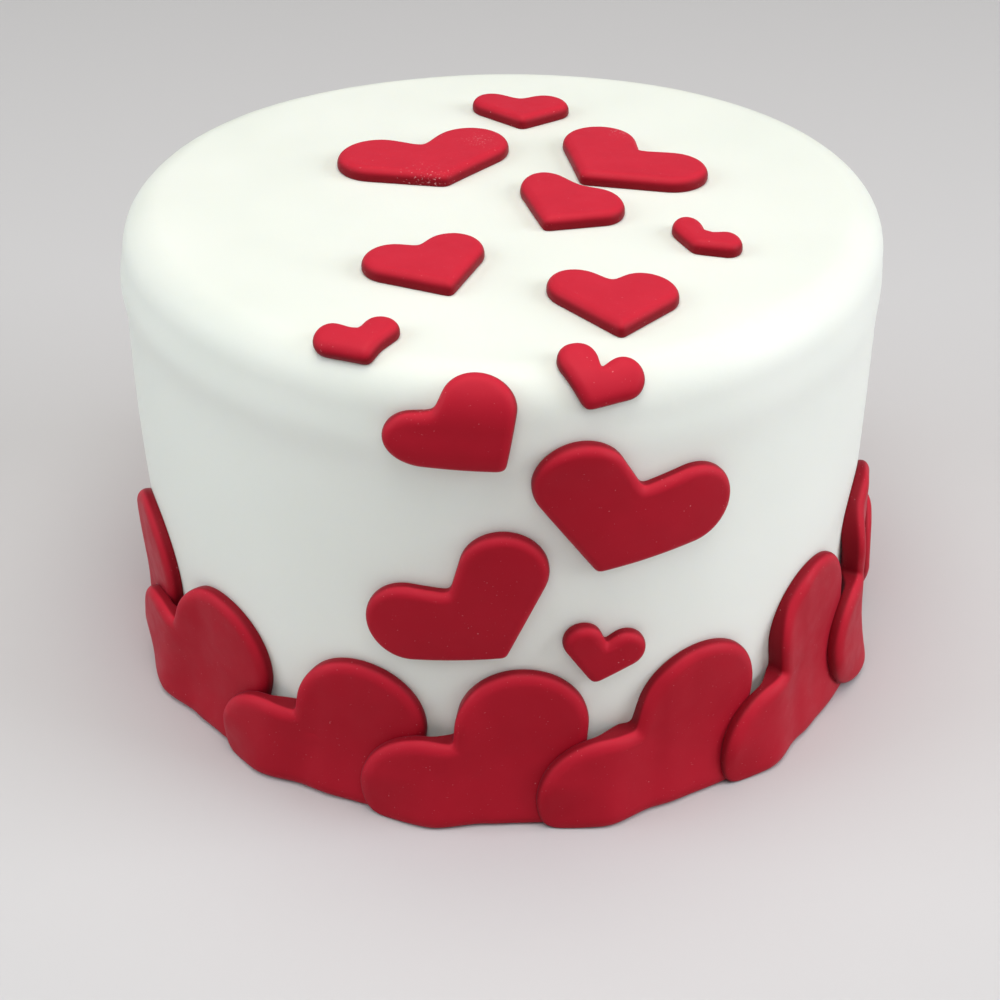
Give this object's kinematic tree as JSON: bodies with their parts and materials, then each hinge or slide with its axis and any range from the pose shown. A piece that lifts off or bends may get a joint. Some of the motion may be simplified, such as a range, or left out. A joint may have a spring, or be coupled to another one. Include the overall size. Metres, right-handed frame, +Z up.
{
  "type": "decorated cake",
  "caption": "Round cake covered in smooth white fondant, with red fondant hearts overlapping round its foot and smaller ones scattered up the front and over the top.",
  "frame": {"origin": "under the middle of the whole cake's outline, at the level of its foot", "axes": "+Z up, front towards -Y, +X to the right seen from the front"},
  "size_m": [0.1714, 0.1696, 0.1056],
  "materials": {
    "white_fondant": "smooth rolled sugar fondant, satin to matt, faintly cream",
    "red_fondant": "smooth rolled sugar fondant, deep red, satin with a fine dusting of powder"
  },
  "bodies": {
    "root": {"cake": "white_fondant", "heart_01": "red_fondant", "heart_02": "red_fondant", "heart_03": "red_fondant", "heart_04": "red_fondant", "heart_05": "red_fondant", "heart_06": "red_fondant", "heart_07": "red_fondant", "heart_08": "red_fondant", "heart_09": "red_fondant", "heart_10": "red_fondant", "heart_11": "red_fondant", "heart_12": "red_fondant", "heart_13": "red_fondant", "ring_heart_01": "red_fondant", "ring_heart_02": "red_fondant", "ring_heart_03": "red_fondant", "ring_heart_04": "red_fondant", "ring_heart_05": "red_fondant", "ring_heart_06": "red_fondant", "ring_heart_07": "red_fondant", "ring_heart_08": "red_fondant", "ring_heart_09": "red_fondant", "ring_heart_10": "red_fondant", "ring_heart_11": "red_fondant", "ring_heart_12": "red_fondant", "ring_heart_13": "red_fondant", "ring_heart_14": "red_fondant"}
  },
  "joints": []
}
